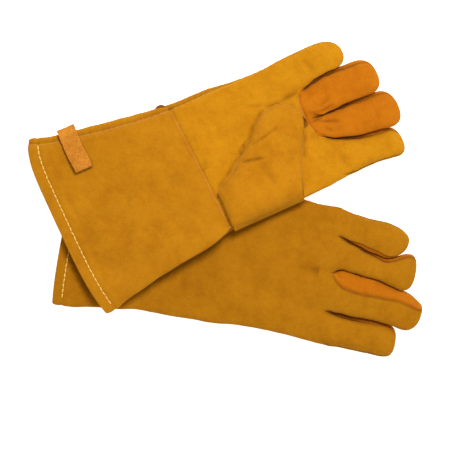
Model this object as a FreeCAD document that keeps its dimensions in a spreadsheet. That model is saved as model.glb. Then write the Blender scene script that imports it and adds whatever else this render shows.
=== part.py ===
"""A pair of welding gloves: two leather gauntlets, the right one palm up across the left one, which lies palm down.

Each glove is drawn in axes of its own: X along the glove from the mouth of the cuff to the fingertips, Y across it
towards the little finger, Z up. It is then turned and set down in the frame of the pair. Millimetres and degrees.
"""
import FreeCAD, Part
import math
import os
import Sketcher
from FreeCAD import Placement, Rotation, Vector

doc = FreeCAD.newDocument("WeldingGloves")
sheet = doc.addObject("Spreadsheet::Sheet", "Dims")

# ---------------------------------------------------------------- driving dimensions
SHARED = {
    "leather": 1.6,          # split cowhide
    "cloth": 1.2,            # cotton and canvas lining
    "welt": 1.6,             # leather strip sewn into a seam
    "welt_proud": 0.8,       # how far a welt stands out of its seam
    "seam_rise": 0.5,        # height of the palm's seam on the rounded edge, as a share of the half thickness
    "finger_half_thick": 10.4,
    "fourchette": 6.0,       # width of the side strip between a finger's front and back
    "fit_gap": 0.3,          # room left on each side of a finger
    "shoulder": 15.0,        # where the tip starts to narrow, back from the end of the finger
    "nail": 5.0,             # and where it narrows more
    "shoulder_narrow": 0.82,
    "tip_narrow": 0.5,
    "thread": 0.7,
    "stitch_long": 3.8,
    "stitch_pitch": 5.2,
    "stitch_clear": 0.1,     # room between a stitch and the leather
    "loop_wide": 18.0,
    "loop_long": 44.0,
    "loop_strap": 1.5,
    "loop_inside": 0.3,      # space inside the folded strap
    "loop_at": 37.0,
    "loop_overhang": 4.0,    # how far the sewn end stands past the flat of the cuff
}

# Sections along a glove: where, half width, centre across, half thickness, height of the middle, roll.
SECTIONS = ("mouth", "hem", "forearm", "wrist", "palm", "knuckle")
SECTION_FIELDS = ("at", "half_wide", "centre", "half_thick", "height", "roll")
# A finger's two sides, across from the middle of the knuckles, its reach from there, and its slope.
FINGERS = ("pinky", "ring", "middle", "index")
FINGER_FIELDS = ("low", "high", "reach", "pitch")
# The thumb's half thickness, height, roll and slope; the room at the fingers' roots, and under the hanging loop.
OTHER_FIELDS = ("thumb_half_thick", "thumb_height", "thumb_roll", "thumb_pitch", "finger_gap", "loop_gap")

GLOVES = {
    "left": {
        "palm_up": False,
        "origin": (-161.14, -20.94),
        "yaw": -11.0,
        "mouth": (0.0, 86.0, 0.0, 8.0, 12.4, 0.0),
        "hem": (14.0, 85.0, -0.2, 8.0, 12.4, 0.0),
        "forearm": (75.0, 78.0, -0.5, 8.5, 13.4, -1.0),
        "wrist": (145.0, 73.0, -1.0, 9.5, 18.2, -3.0),
        "palm": (200.0, 69.5, -2.5, 11.0, 22.8, -4.0),
        "knuckle": (262.0, 69.0, -4.0, 11.0, 22.0, -3.0),
        "pinky": (37.0, 65.0, 85.0, 7.0),
        "ring": (2.0, 37.0, 97.5, 6.4),
        "middle": (-37.0, 2.0, 111.0, 6.2),
        "index": (-71.0, -37.0, 91.0, 8.4),
        "thumb_half_thick": 4.4,
        "thumb_height": 4.4,
        "thumb_roll": 0.0,
        "thumb_pitch": 0.0,
        "finger_gap": 5.0,
        "loop_gap": 0.5,
    },
    "right": {
        "palm_up": True,
        "origin": (-156.74, -26.54),
        "yaw": 24.0,
        "mouth": (-6.0, 97.0, -1.5, 8.0, 31.4, -1.5),
        "hem": (8.0, 94.5, -1.5, 8.0, 31.8, -1.5),
        "forearm": (72.0, 83.0, -1.5, 8.5, 37.0, -5.5),
        "wrist": (145.0, 75.5, -1.5, 9.5, 31.5, -15.0),
        "palm": (200.0, 71.5, -2.5, 11.0, 28.6, -13.5),
        "knuckle": (262.0, 69.0, -2.0, 11.0, 24.2, -9.0),
        "pinky": (35.5, 68.5, 62.0, 5.5),
        "ring": (0.8, 35.5, 85.5, 7.4),
        "middle": (-35.0, 0.8, 92.0, 9.5),
        "index": (-69.0, -35.0, 82.0, 12.0),
        "thumb_half_thick": 7.5,
        "thumb_height": 49.2,
        "thumb_roll": -13.5,
        "thumb_pitch": 3.5,
        "finger_gap": 6.0,
        "loop_gap": 1.0,
    },
}
# The thumb's outline, along and across the glove. Its root runs along the palm's edge, and an arc makes the tip.
THUMB = {
    "root_near": (150.0, -66.0),
    "crotch": (151.0, -34.0),
    "tip_near": (224.0, 22.0),
    "tip_end": (243.0, 24.0),
    "tip_far": (257.0, 2.0),
    "root_far": (233.0, -65.0),
}

row = 0


def cell(alias, value):
    """One driving dimension: its name, and its value as text in a cell that has the name as its alias."""
    global row
    row += 1
    sheet.set("A%d" % row, alias)
    sheet.set("B%d" % row, repr(float(value)))
    sheet.setAlias("B%d" % row, alias)


for name, value in SHARED.items():
    cell(name, value)
for side, glove in GLOVES.items():
    for section in SECTIONS:
        for field, value in zip(SECTION_FIELDS, glove[section]):
            cell("%s_%s_%s" % (side, section, field), value)
    for finger in FINGERS:
        for field, value in zip(FINGER_FIELDS, glove[finger]):
            cell("%s_%s_%s" % (side, finger, field), value)
    for field in OTHER_FIELDS:
        cell("%s_%s" % (side, field), glove[field])
for name, (along, across) in THUMB.items():
    cell("thumb_%s_along" % name, along)
    cell("thumb_%s_across" % name, across)
doc.recompute()


def dim(alias):
    return float(sheet.get(alias))


def glove_placement(side):
    glove = GLOVES[side]
    return Placement(Vector(glove["origin"][0], glove["origin"][1], 0), Rotation(Vector(0, 0, 1), glove["yaw"]))


# ---------------------------------------------------------------- small helpers
nodes = []


def finish_node(thing, label, placement):
    """Names a sub-part, puts it in its place and lists it for the end."""
    thing.Label = label
    thing.Placement = placement
    nodes.append(thing)
    return thing


def boolean(kind, name, base, tool):
    made = doc.addObject("Part::" + kind, name)
    made.Base, made.Tool = base, tool
    return made


def loft(name, sections):
    made = doc.addObject("Part::Loft", name)
    made.Sections = sections
    made.Solid = True
    made.Ruled = True
    return made


def block(name, sizes):
    """A box whose corner and sides are bound to the sheet: sizes maps a property to an expression."""
    made = doc.addObject("Part::Box", name)
    for field, expression in sizes.items():
        made.setExpression(field, expression)
    return made


# ---------------------------------------------------------------- sections across the glove
ACROSS = Rotation(Vector(0, 1, 0), Vector(0, 0, 1), Vector(1, 0, 0), "ZXY")
START, END, CENTRE = 1, 2, 3
RIGHT, FLAT, LEFT, LAST = range(4)


def oval(name, half_wide, half_thick, part="whole", palm_up=True):
    """A flat oval sketch. part is "whole", "palm" (the side cut off at the palm's seam) or "back" (all the rest).

    half_wide and half_thick are pairs: an expression, and its value now.
    """
    (wide_expression, wide), (thick_expression, thick) = half_wide, half_thick
    flat = wide - thick
    rise = dim("seam_rise") if palm_up else -dim("seam_rise")
    seam = math.degrees(math.asin(rise))
    flat_up = part == "whole" or (part == "palm") == palm_up
    if part == "whole":
        angles = (-90, 90), (90, 270)
    elif flat_up:
        angles = (seam, 90), (90, 180 - seam)
    else:
        angles = (-90, seam), (180 - seam, 270)
    flat_end, seam_end = ((END, START), (START, END)) if flat_up else ((START, END), (END, START))
    sketch = doc.addObject("Sketcher::SketchObject", name)
    for centre, (first, last) in zip((flat, -flat), angles):
        circle = Part.Circle(Vector(centre, 0, 0), Vector(0, 0, 1), thick)
        arc = Part.ArcOfCircle(circle, math.radians(first), math.radians(last))
        sketch.addGeometry(arc, False)
        if centre > 0:
            level = thick if flat_up else -thick
            sketch.addGeometry(Part.LineSegment(Vector(flat, level, 0), Vector(-flat, level, 0)), False)
    other = -thick if part == "whole" else rise * thick
    reach = flat if part == "whole" else flat + math.sqrt(thick * thick - other * other)
    sketch.addGeometry(Part.LineSegment(Vector(-reach, other, 0), Vector(reach, other, 0)), False)

    def constrain(*words):
        return sketch.addConstraint(Sketcher.Constraint(*words))

    constrain("Coincident", RIGHT, flat_end[0], FLAT, START)
    constrain("Coincident", FLAT, END, LEFT, flat_end[1])
    constrain("Coincident", LEFT, seam_end[1], LAST, START)
    constrain("Coincident", LAST, END, RIGHT, seam_end[0])
    constrain("PointOnObject", RIGHT, CENTRE, -1)
    constrain("Symmetric", RIGHT, CENTRE, LEFT, CENTRE, -1, 1)
    constrain("Equal", RIGHT, LEFT)
    constrain("Vertical", RIGHT, CENTRE, RIGHT, flat_end[0])
    constrain("Vertical", LEFT, CENTRE, LEFT, flat_end[1])
    if part == "whole":
        constrain("Vertical", RIGHT, CENTRE, RIGHT, seam_end[0])
        constrain("Vertical", LEFT, CENTRE, LEFT, seam_end[1])
    else:
        constrain("Horizontal", LAST)
        ends = (RIGHT, CENTRE, RIGHT, seam_end[0]) if rise > 0 else (RIGHT, seam_end[0], RIGHT, CENTRE)
        seam_height = constrain("DistanceY", *ends, abs(other))
        sketch.setExpression("Constraints[%d]" % seam_height, "(%s) * Dims.seam_rise" % thick_expression)
    radius = constrain("Radius", RIGHT, thick)
    sketch.setExpression("Constraints[%d]" % radius, thick_expression)
    middle = constrain("DistanceX", -1, 1, RIGHT, CENTRE, flat)
    sketch.setExpression("Constraints[%d]" % middle, "(%s) - (%s)" % (wide_expression, thick_expression))
    return sketch


def hand_section(name, side, section, part, inset, shift):
    """A section of the hand or the cuff, inset by a list of the sheet's names and moved along the glove."""
    key = "%s_%s_" % (side, section)
    less = "".join(" - Dims." + word for word in inset)
    loss = sum(dim(word) for word in inset)
    half_wide = ("Dims.%shalf_wide%s" % (key, less), dim(key + "half_wide") - loss)
    half_thick = ("Dims.%shalf_thick%s" % (key, less), dim(key + "half_thick") - loss)
    sketch = oval(name, half_wide, half_thick, part, GLOVES[side]["palm_up"])
    roll = Rotation(Vector(1, 0, 0), dim(key + "roll"))
    sketch.Placement = Placement(Vector(), roll.multiply(ACROSS))
    sketch.setExpression("Placement.Base.x", "Dims.%sat + %s * Dims.welt / 2" % (key, shift))
    sketch.setExpression("Placement.Base.y", "Dims.%scentre" % key)
    sketch.setExpression("Placement.Base.z", "Dims.%sheight" % key)
    return sketch


# Places along a glove where its lengths of leather start and end. The wrist's welt lies between the middle two.
PLACES = (("mouth", 0), ("hem", 0), ("forearm", 0), ("wrist", -1), ("wrist", 1), ("palm", 0), ("knuckle", 0))
MOUTH, HEM, FOREARM, CUFF_END, PALM_START, PALM, KNUCKLE = range(7)


def hand_run(side, name, part, inset, first, last):
    """A solid through the glove's sections from one place along it to another."""
    sections = [
        hand_section("%s_%s_%d" % (side, name, place), side, PLACES[place][0], part, inset, PLACES[place][1])
        for place in range(first, last + 1)
    ]
    return loft("%s_%s" % (side, name), sections)


def hand(side):
    """Back, cuff and palm leather, the hem turned in at the mouth, the welt at the wrist, and the linings."""
    inner = hand_run(side, "hand_inner", "whole", ("leather",), MOUTH, KNUCKLE)
    bore = hand_run(side, "hand_bore", "whole", ("leather", "cloth"), MOUTH, KNUCKLE)
    pieces = (
        ("back_panel", "back", (), MOUTH, KNUCKLE, inner),
        ("cuff_palm_panel", "palm", (), MOUTH, CUFF_END, inner),
        ("wrist_welt", "palm", (), CUFF_END, PALM_START, inner),
        ("palm_panel", "palm", (), PALM_START, KNUCKLE, inner),
        ("cuff_hem", "whole", ("leather",), MOUTH, HEM, bore),
        ("cuff_lining", "whole", ("leather",), HEM, CUFF_END, bore),
        ("hand_lining", "whole", ("leather",), CUFF_END, KNUCKLE, bore),
    )
    for name, part, inset, first, last, tool in pieces:
        outer = hand_run(side, name + "_outer", part, inset, first, last)
        piece = boolean("Cut", "%s_%s" % (side, name), outer, tool)
        finish_node(piece, "%s_%s" % (side, name), glove_placement(side))


# ---------------------------------------------------------------- fingers
def knuckle_frame(side):
    """Where the fingers start: the middle of the knuckle section, rolled with it."""
    key = side + "_knuckle_"
    base = Vector(dim(key + "at"), dim(key + "centre"), dim(key + "height"))
    return glove_placement(side).multiply(Placement(base, Rotation(Vector(1, 0, 0), dim(key + "roll"))))


def finger_frame(side, finger):
    """The finger slopes down from a line along the top of the knuckles."""
    top = dim(side + "_knuckle_half_thick")
    slope = Placement(Vector(0, 0, top), Rotation(Vector(0, 1, 0), dim("%s_%s_pitch" % (side, finger))))
    drop = Placement(Vector(0, 0, -dim("finger_half_thick")), Rotation())
    return knuckle_frame(side).multiply(slope).multiply(drop)


def finger_run(side, finger, name, inset):
    """A solid of the finger's outer shape, or inset from it: straight, then narrowing to a rounded tip."""
    key = "Dims.%s_%s_" % (side, finger)
    low, high, reach = (dim("%s_%s_%s" % (side, finger, word)) for word in ("low", "high", "reach"))
    less = "".join(" - Dims." + word for word in inset)
    loss = sum(dim(word) for word in inset)
    wide = (high - low) / 2 - dim("fit_gap")
    thick = dim("finger_half_thick")
    stations = (
        ("Dims.%s_finger_gap" % side, None),
        ("%sreach - Dims.shoulder" % key, None),
        ("%sreach - Dims.nail" % key, "shoulder_narrow"),
        ("%sreach%s" % (key, less), "tip_narrow"),
    )
    sections = []
    for index, (place, narrow) in enumerate(stations):
        scale = dim(narrow) if narrow else 1.0
        share = " * Dims." + narrow if narrow else ""
        half_wide = ("((%shigh - %slow) / 2 - Dims.fit_gap)%s%s" % (key, key, share, less), wide * scale - loss)
        half_thick = ("Dims.finger_half_thick%s%s" % (share, less), thick * scale - loss)
        sketch = oval("%s_%s_%s_%d" % (side, finger, name, index), half_wide, half_thick)
        sketch.Placement = Placement(Vector(), ACROSS)
        sketch.setExpression("Placement.Base.x", place)
        sketch.setExpression("Placement.Base.y", "(%shigh + %slow) / 2" % (key, key))
        sections.append(sketch)
    return loft("%s_%s_%s" % (side, finger, name), sections)


def finger(side, name):
    """Front, back, side strips and lining of one finger. The outer fingers have a strip on their inner side only."""
    palm_up = GLOVES[side]["palm_up"]
    outer, inner, bore = (
        finger_run(side, name, layer, inset)
        for layer, inset in (("outer", ()), ("inner", ("leather",)), ("bore", ("leather", "cloth")))
    )
    key = "Dims.%s_%s_" % (side, name)
    label = "%s_%s_" % (side, name)
    shell = boolean("Cut", label + "shell", outer, inner)
    base_of_strip = key + "low"
    width_of_strip = "%shigh - %slow" % (key, key)
    if name in ("pinky", "index"):
        width_of_strip = "(%shigh - %slow) / 2" % (key, key)
    if name == "index":
        base_of_strip = "(%shigh + %slow) / 2" % (key, key)
    strip = block(label + "strip", {
        "Length": key + "reach + 1",
        "Width": width_of_strip,
        "Height": "Dims.fourchette",
        "Placement.Base.y": base_of_strip,
        "Placement.Base.z": "-Dims.fourchette / 2",
    })
    front_half = block(label + "front_half", {
        "Length": key + "reach + 1",
        "Width": "%shigh - %slow" % (key, key),
        "Height": "Dims.finger_half_thick",
        "Placement.Base.y": key + "low",
        "Placement.Base.z": "Dims.fourchette / 2" if palm_up else "-Dims.fourchette / 2 - Dims.finger_half_thick",
    })
    rest = boolean("Cut", label + "rest", shell, front_half)
    pieces = (
        ("front", boolean("Common", label + "front", shell, front_half)),
        ("back", boolean("Cut", label + "back", rest, strip)),
        ("fourchettes", boolean("Common", label + "fourchettes", shell, strip)),
        ("lining", boolean("Cut", label + "lining", inner, bore)),
    )
    for word, piece in pieces:
        finish_node(piece, label + word, finger_frame(side, name))


# ---------------------------------------------------------------- thumb
def thumb_frame(side):
    """The thumb's middle plane, under or over the palm, turned with it about the palm section's middle."""
    base = Vector(dim(side + "_palm_at"), dim(side + "_palm_centre"), dim(side + "_thumb_height"))
    turn = Rotation(Vector(1, 0, 0), dim(side + "_thumb_roll"))
    turn = turn.multiply(Rotation(Vector(0, 1, 0), dim(side + "_thumb_pitch")))
    return glove_placement(side).multiply(Placement(base, turn))


def thumb_outline(side):
    """The outline in the thumb's own plane, from the middle of the palm section."""
    origin = Vector(dim(side + "_palm_at"), dim(side + "_palm_centre"), 0)
    corners = {
        name: Vector(dim("thumb_%s_along" % name), dim("thumb_%s_across" % name), 0) - origin for name in THUMB
    }
    sketch = doc.addObject("Sketcher::SketchObject", side + "_thumb_outline")
    edges = (("root_far", "root_near"), ("root_near", "crotch"), ("crotch", "tip_near"), ("tip_far", "root_far"))
    for one, other in edges:
        sketch.addGeometry(Part.LineSegment(corners[one], corners[other]), False)
    tip = Part.Arc(corners["tip_near"], corners["tip_end"], corners["tip_far"]).toShape().Curve
    from_centre = [corners[name] - tip.Center for name in ("tip_far", "tip_near")]
    first, last = (math.atan2(spoke.y, spoke.x) for spoke in from_centre)
    circle = Part.Circle(tip.Center, Vector(0, 0, 1), tip.Radius)
    sketch.addGeometry(Part.ArcOfCircle(circle, first, last), False)
    for one, other in ((0, 1), (1, 2)):
        sketch.addConstraint(Sketcher.Constraint("Coincident", one, END, other, START))
    sketch.addConstraint(Sketcher.Constraint("Coincident", 3, END, 0, START))
    for edge, end, name in ((0, START, "root_far"), (0, END, "root_near"), (1, END, "crotch"),
                            (2, END, "tip_near"), (3, START, "tip_far")):
        for axis, word, field in (("DistanceX", "along", "at"), ("DistanceY", "across", "centre")):
            value = corners[name].x if axis == "DistanceX" else corners[name].y
            number = sketch.addConstraint(Sketcher.Constraint(axis, -1, 1, edge, end, value))
            expression = "Dims.thumb_%s_%s - Dims.%s_palm_%s" % (name, word, side, field)
            sketch.setExpression("Constraints[%d]" % number, expression)
    sketch.addConstraint(Sketcher.Constraint("Coincident", 2, END, 4, END))
    sketch.addConstraint(Sketcher.Constraint("Coincident", 3, START, 4, START))
    sketch.addConstraint(Sketcher.Constraint("Radius", 4, tip.Radius))
    return sketch


def slab(name, outline, up, down, grow=None):
    """The outline grown or shrunk, and drawn out above and below its plane. up, down and grow are expressions."""
    if grow:
        offset = doc.addObject("Part::Offset2D", name + "_offset")
        offset.Source = outline
        offset.setExpression("Value", grow)
        offset.Join = "Arc"
        outline = offset
    made = doc.addObject("Part::Extrusion", name)
    made.Base = outline
    made.DirMode = "Custom"
    made.Dir = Vector(0, 0, 1)
    made.Solid = True
    made.setExpression("LengthFwd", up)
    made.setExpression("LengthRev", down)
    return made


def thumb(side):
    """Two shells that meet at a welt round the outline, and the lining inside them."""
    label = side + "_thumb_"
    half = "Dims.%s_thumb_half_thick" % side
    outline = thumb_outline(side)
    inner = slab(label + "inner", outline, half + " - Dims.leather", half + " - Dims.leather", "-Dims.leather")
    bore_half = half + " - Dims.leather - Dims.cloth"
    bore = slab(label + "bore", outline, bore_half, bore_half, "-Dims.leather - Dims.cloth")
    upper = slab(label + "upper", outline, half, "-Dims.welt / 2")
    lower = slab(label + "lower", outline, "-Dims.welt / 2", half)
    band = slab(label + "band", outline, "Dims.welt / 2", "Dims.welt / 2")
    # Folded over the palm, the thumb shows its back and turns its front to the palm.
    front, back = (lower, upper) if GLOVES[side]["palm_up"] else (upper, lower)
    pieces = (
        ("front", boolean("Cut", label + "front", front, inner)),
        ("back", boolean("Cut", label + "back", back, inner)),
        ("welt", boolean("Cut", label + "welt", band, inner)),
        ("lining", boolean("Cut", label + "lining", inner, bore)),
    )
    for word, piece in pieces:
        finish_node(piece, label + word, thumb_frame(side))


# ---------------------------------------------------------------- seams, stitches and hanging loop
def section_frame(side, section):
    key = "%s_%s_" % (side, section)
    base = Vector(dim(key + "at"), dim(key + "centre"), dim(key + "height"))
    return glove_placement(side).multiply(Placement(base, Rotation(Vector(1, 0, 0), dim(key + "roll"))))


def finger_base_welt(side):
    """The welt in the seam that joins the ring and middle fingers' fronts to the palm."""
    label = side + "_finger_base_welt"
    strip = block(label, {"Length": "Dims.welt", "Width": "Dims.%s_ring_high - Dims.%s_middle_low" % (side, side),
                          "Height": "Dims.leather + Dims.welt_proud"})
    frame = knuckle_frame(side)
    level = dim(side + "_knuckle_half_thick")
    height = level - dim("leather") if GLOVES[side]["palm_up"] else -level - dim("welt_proud")
    place = frame.multiply(Placement(Vector(0, dim(side + "_middle_low"), height), Rotation()))
    finish_node(strip, label, place)


def hem_stitching(side):
    """One row of stitches on each face of the cuff: the seam that holds the hem."""
    label = side + "_hem_stitching"
    wide = dim(side + "_hem_half_wide") - dim(side + "_hem_half_thick") - dim("stitch_pitch")
    count = int(2 * wide / dim("stitch_pitch"))
    level = dim(side + "_hem_half_thick") + dim("stitch_clear")
    thread, long = dim("thread"), dim("stitch_long")
    stitches = []
    for number in range(count):
        across = (number - (count - 1) / 2) * dim("stitch_pitch") - long / 2
        for bottom in (level, -level - thread):
            stitches.append(Part.makeBox(thread, long, thread, Vector(-thread, across, bottom)))
    made = doc.addObject("Part::Feature", label)
    made.Shape = Part.makeCompound(stitches)
    finish_node(made, label, section_frame(side, "hem"))


def hanging_loop(side):
    """A strap folded in two, sewn at the little finger's side of the cuff and lying on the cuff's palm face."""
    label = side + "_hanging_loop"
    body = doc.addObject("PartDesign::Body", label)
    plane = next(item for item in body.Origin.OriginFeatures if item.Role == "YZ_Plane")
    profile = body.newObject("Sketcher::SketchObject", label + "_profile")
    profile.AttachmentSupport = [(plane, "")]
    profile.MapMode = "FlatFace"
    outer = dim("loop_strap") + dim("loop_inside") / 2
    half_long = dim("loop_long") / 2
    for radius, expression in (
        (outer, "Dims.loop_strap + Dims.loop_inside / 2"),
        (dim("loop_inside") / 2, "Dims.loop_inside / 2"),
    ):
        first = len(profile.Geometry)
        right, top, left, bottom = range(first, first + 4)
        reach = half_long - outer
        for centre, angles in ((reach, (-90, 90)), (-reach, (90, 270))):
            circle = Part.Circle(Vector(centre, 0, 0), Vector(0, 0, 1), radius)
            arc = Part.ArcOfCircle(circle, math.radians(angles[0]), math.radians(angles[1]))
            profile.addGeometry(arc, False)
            if centre > 0:
                profile.addGeometry(Part.LineSegment(Vector(reach, radius, 0), Vector(-reach, radius, 0)), False)
        profile.addGeometry(Part.LineSegment(Vector(-reach, -radius, 0), Vector(reach, -radius, 0)), False)

        def constrain(*words):
            return profile.addConstraint(Sketcher.Constraint(*words))

        constrain("Coincident", right, END, top, START)
        constrain("Coincident", top, END, left, START)
        constrain("Coincident", left, END, bottom, START)
        constrain("Coincident", bottom, END, right, START)
        constrain("PointOnObject", right, CENTRE, -1)
        constrain("Symmetric", right, CENTRE, left, CENTRE, -1, 1)
        constrain("Equal", right, left)
        for arc, end in ((right, END), (left, START), (right, START), (left, END)):
            constrain("Vertical", arc, CENTRE, arc, end)
        size = constrain("Radius", right, radius)
        profile.setExpression("Constraints[%d]" % size, expression)
        middle = constrain("DistanceX", -1, 1, right, CENTRE, reach)
        profile.setExpression("Constraints[%d]" % middle,
                              "Dims.loop_long / 2 - Dims.loop_strap - Dims.loop_inside / 2")
    pad = body.newObject("PartDesign::Pad", label + "_pad")
    pad.Profile = profile
    pad.Midplane = True
    pad.setExpression("Length", "Dims.loop_wide")
    body.Tip = pad
    finish_node(body, label, loop_frame(side))


def loop_frame(side):
    """The middle of the folded strap, on the cuff's palm face between the hem and the forearm section."""
    share = (dim("loop_at") - dim(side + "_hem_at")) / (dim(side + "_forearm_at") - dim(side + "_hem_at"))

    def between(field):
        hem, forearm = (dim("%s_%s_%s" % (side, word, field)) for word in ("hem", "forearm"))
        return hem + share * (forearm - hem)

    half_thick = between("half_thick")
    base = Vector(dim("loop_at"), between("centre"), between("height"))
    frame = glove_placement(side).multiply(Placement(base, Rotation(Vector(1, 0, 0), between("roll"))))
    clear = half_thick + dim(side + "_loop_gap") + dim("loop_strap") + dim("loop_inside") / 2
    level = clear if GLOVES[side]["palm_up"] else -clear
    across = between("half_wide") - half_thick + dim("loop_overhang") - dim("loop_long") / 2
    return frame.multiply(Placement(Vector(0, across, level), Rotation()))


# ---------------------------------------------------------------- the pair
for side in GLOVES:
    hand(side)
    for name in FINGERS:
        finger(side, name)
    thumb(side)
    finger_base_welt(side)
    hem_stitching(side)
    hanging_loop(side)

doc.recompute()

for item in doc.Objects:
    if "Invalid" in item.State or "Error" in item.State:
        raise RuntimeError("%s failed: %s" % (item.Name, item.State))
os.makedirs("parts", exist_ok=True)
for node in nodes:
    if node.Shape.isNull() or not node.Shape.isValid() or node.Shape.Volume <= 0:
        raise RuntimeError("%s has no sound shape" % node.Label)
for node in nodes:
    node.Shape.exportStep(os.path.join("parts", node.Label + ".step"))
print("%d sub-parts" % len(nodes))
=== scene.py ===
"""Looks of the pair of welding gloves: leather, seams, stitches and linings around the CAD frame.

Each glove is drawn in axes of its own, as in CAD: u runs along the glove from the mouth of the cuff to
the fingertips, v across it towards the little finger, w up. Lengths are millimetres until a mesh is made.
"""
import math
import bpy
import numpy as np
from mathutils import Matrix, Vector


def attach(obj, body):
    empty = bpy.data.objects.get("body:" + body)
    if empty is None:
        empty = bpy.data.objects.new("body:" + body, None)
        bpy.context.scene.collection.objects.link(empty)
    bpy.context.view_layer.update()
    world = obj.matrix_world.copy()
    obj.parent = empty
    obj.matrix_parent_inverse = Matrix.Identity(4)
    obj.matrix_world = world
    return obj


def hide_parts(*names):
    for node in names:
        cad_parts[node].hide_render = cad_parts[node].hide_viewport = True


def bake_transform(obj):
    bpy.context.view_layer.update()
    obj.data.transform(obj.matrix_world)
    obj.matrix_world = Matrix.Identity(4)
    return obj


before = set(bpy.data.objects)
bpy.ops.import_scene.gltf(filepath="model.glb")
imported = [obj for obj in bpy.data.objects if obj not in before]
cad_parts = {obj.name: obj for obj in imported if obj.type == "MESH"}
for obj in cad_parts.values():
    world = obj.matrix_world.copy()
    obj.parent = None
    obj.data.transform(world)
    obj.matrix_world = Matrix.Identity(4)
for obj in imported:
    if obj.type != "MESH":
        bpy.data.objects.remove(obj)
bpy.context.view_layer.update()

# ---------------------------------------------------------------- sizes shared by both gloves
LEATHER = 1.6
CLOTH = 1.0
LINING_DEEP = 3.4          # a lining's outer face below the leather's, clear of its folds
MESH_STEP = 1.9            # distance between the points of a leather surface
WRIST = 143.9              # the wrist's seam, at the middle of the glove
WRIST_SLANT = 0.052        # how much nearer to the mouth it is for each mm across
KNUCKLE = 262.0            # where the fingers' pieces start
HEM_DEPTH = 14.0
STITCH_LINE = 8.8          # the hem's stitches, from the mouth
STITCH_PITCH = 5.2
STITCH_LONG = 4.3
THREAD = 0.72              # its radius
FINGER_THICK = 10.4        # half a finger's thickness
SPREAD = 16.0              # over this length the fingers part from the flat of the hand
LEAN = -0.46               # the fingers' sections lean, so no gap between two of them stands upright
HAND_POWER = 6.0           # how square a section is: 2 is an ellipse
FINGER_POWER = 2.6
THUMB_POWER = 2.2
CORNER = 0.975             # a side strip starts at this share of a finger's half width
OUTER_CORNER = 0.78        # the same where a finger's side is the glove's own edge
ROOT = -73.6               # where the thumb leaves the hand, across the right glove
UNDER_WAVE = 0.35          # the leather's waves underneath, as a share of those on top
WAVES = 8                  # waves that add up to the leather's bumps
TURN = 2 * math.pi

# grooves, ridges and sags along the seams: height and width
WRIST_GROOVE, WRIST_SAG = (1.9, 2.4), (0.8, 7)
LONG_GROOVE, LONG_RIDGE = (1.5, 2.0), (0.7, 2.2)
EDGE_GROOVE = (0.9, 1.6)
STITCH_GROOVE = (0.65, 1.5)
MOUTH_GROOVE = (0.7, 1.4)
BASE_GROOVE, BASE_SAG = (1.7, 2.0), (0.7, 6)
FINGER_GROOVE, OUTER_GROOVE = (1.1, 1.5), (0.9, 1.5)
RIDGE_AWAY = 4.2           # the ridge beside a long seam, from the seam
PUCKER, PUCKER_RATE = 0.25, 0.95      # the small puckers along seams: height, and radians per mm
HEM_RISE, HEM_END, HEM_FADE = 0.35, 18, 4    # the doubled leather of the hem stands up a little
VALLEY_START, VALLEY_RUN, VALLEY_WIDE = 234, 34, 5.5
FINGER_GAP = 0.5           # between a finger and the line that parts it from the next
FINGER_RISE = 0.6          # of a finger's axis above the middle of the hand


# ---------------------------------------------------------------- curves and noise
def curve(*points):
    """A smooth curve through (place, value) points that doesn't overshoot them, straight past its ends."""
    place, value = np.array(points, float).T
    slope = np.diff(value) / np.diff(place)
    tangent = np.concatenate([slope[:1], np.zeros(len(place) - 2), slope[-1:]])
    before, after = slope[:-1], slope[1:]
    same = before * after > 0
    total = np.where(same, before + after, 1.0)
    tangent[1:-1] = np.where(same, 2 * before * after / total, 0.0)

    def at(where):
        where = np.asarray(where, float)
        inside = np.clip(where, place[0], place[-1])
        left = np.clip(np.searchsorted(place, inside, side="right") - 1, 0, len(place) - 2)
        width = place[left + 1] - place[left]
        t = (inside - place[left]) / width
        result = (
            value[left] * (2 * t**3 - 3 * t**2 + 1) + value[left + 1] * (3 * t**2 - 2 * t**3)
            + width * (tangent[left] * (t**3 - 2 * t**2 + t) + tangent[left + 1] * (t**3 - t**2))
        )
        edge = np.where(where < place[0], tangent[0], tangent[-1])
        return result + edge * (where - inside)

    return at


def ease(t):
    """From 0 to 1, slow at both ends."""
    t = np.clip(t, 0, 1)
    return t * t * (3 - 2 * t)


def hill(distance, width):
    """1 at distance 0, and soon 0 on both sides."""
    return np.exp(-(distance / width) ** 2)


def bump(distance, size):
    """A ridge, or taken away a groove, of that height and width along a line at that distance."""
    return size[0] * hill(distance, size[1])


def noise(size, seed, u, v, w):
    """Smooth bumps about size apart, mostly between -1 and 1, the same on every run: crossing waves."""
    chance = np.random.RandomState(seed)
    total = 0.0
    for _ in range(WAVES):
        direction = chance.normal(size=3)
        direction = direction / np.linalg.norm(direction)
        turns = TURN / (np.broadcast_to(size, 3) * chance.uniform(1.5, 3.0))
        phase = u * direction[0] * turns[0] + v * direction[1] * turns[1] + w * direction[2] * turns[2]
        total = total + np.cos(phase + chance.uniform(0, TURN))
    return total * 0.26


def power(value, exponent):
    """The power of the value's size, with the value's sign."""
    return np.sign(value) * np.abs(value) ** exponent


def round_off(angle, square):
    """A point of a rounded section, from its low-v edge over the top to its high-v edge and back below."""
    return -power(np.cos(angle), 2 / square), power(np.sin(angle), 2 / square)


def outward(angle, square, half_wide, half_thick):
    """The direction out of the section at that angle, across and up."""
    across = -power(np.cos(angle), 2 - 2 / square) / half_wide
    up = power(np.sin(angle), 2 - 2 / square) / half_thick
    length = np.hypot(across, up) + 1e-9
    return across / length, up / length


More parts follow.
